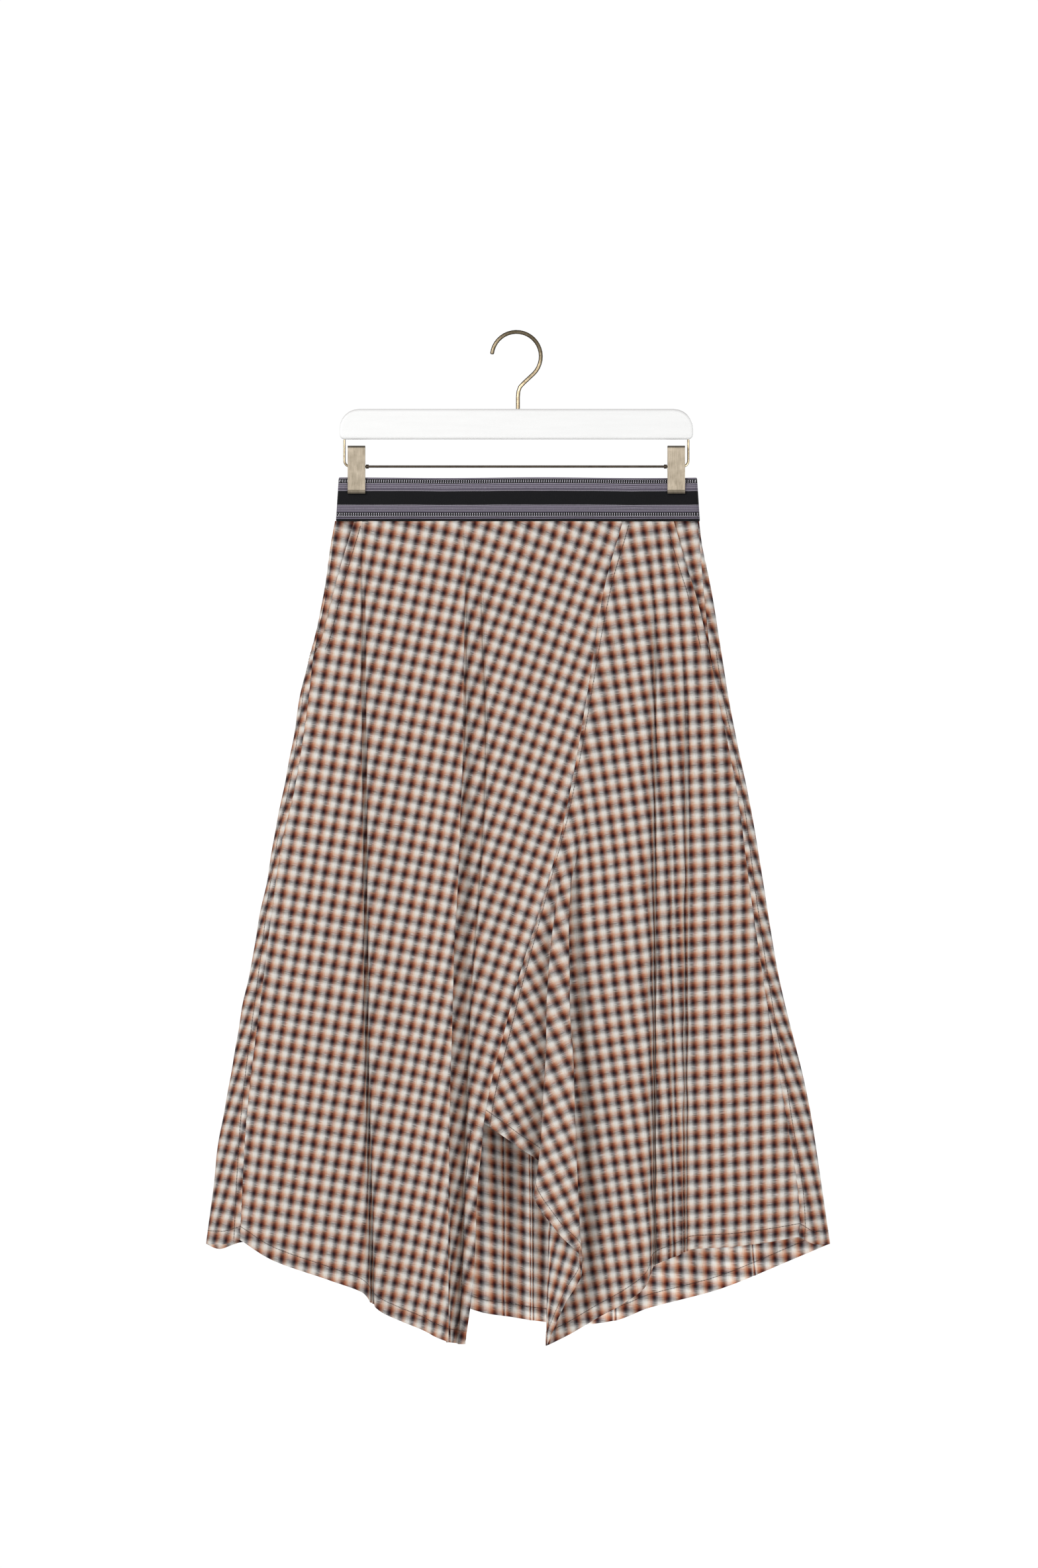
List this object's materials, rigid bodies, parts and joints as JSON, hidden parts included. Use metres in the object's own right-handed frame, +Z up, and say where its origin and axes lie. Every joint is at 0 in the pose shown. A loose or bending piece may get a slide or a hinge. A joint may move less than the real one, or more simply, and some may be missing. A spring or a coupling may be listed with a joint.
{
  "type": "asymmetric skirt on a clip hanger",
  "caption": "Flared asymmetric skirt with a diagonal front seam, a front slit with a falling drape and slanting pockets, hanging by its waistband from a clip hanger.",
  "frame": {"origin": "inside top of the hanger's hook, where a peg or rail carries it", "axes": "+Z up, +X to the viewer's right, the skirt's front faces -Y"},
  "size_m": [0.6362, 0.0906, 1.031],
  "materials": {
    "check_cloth": "soft matt cotton weave with a shaded check in rust, black, grey and ivory",
    "band_elastic": "woven elastic band, black with lavender stripes and rows of small pale dots",
    "white_paint": "wood under satin white paint",
    "antique_brass": "brushed antique brass plate over steel"
  },
  "bodies": {
    "root": {"front_left_panel": "check_cloth", "front_right_panel": "check_cloth", "back_panel": "check_cloth", "pocket_backing_left": "check_cloth", "pocket_backing_right": "check_cloth", "waistband": "band_elastic", "hanger_bar": "white_paint", "hook": "antique_brass", "wire_rod": "antique_brass", "wire_stub_left": "antique_brass", "wire_stub_right": "antique_brass", "clip_front_left": "antique_brass", "clip_front_right": "antique_brass", "clip_rear_left": "antique_brass", "clip_rear_right": "antique_brass"}
  },
  "joints": []
}
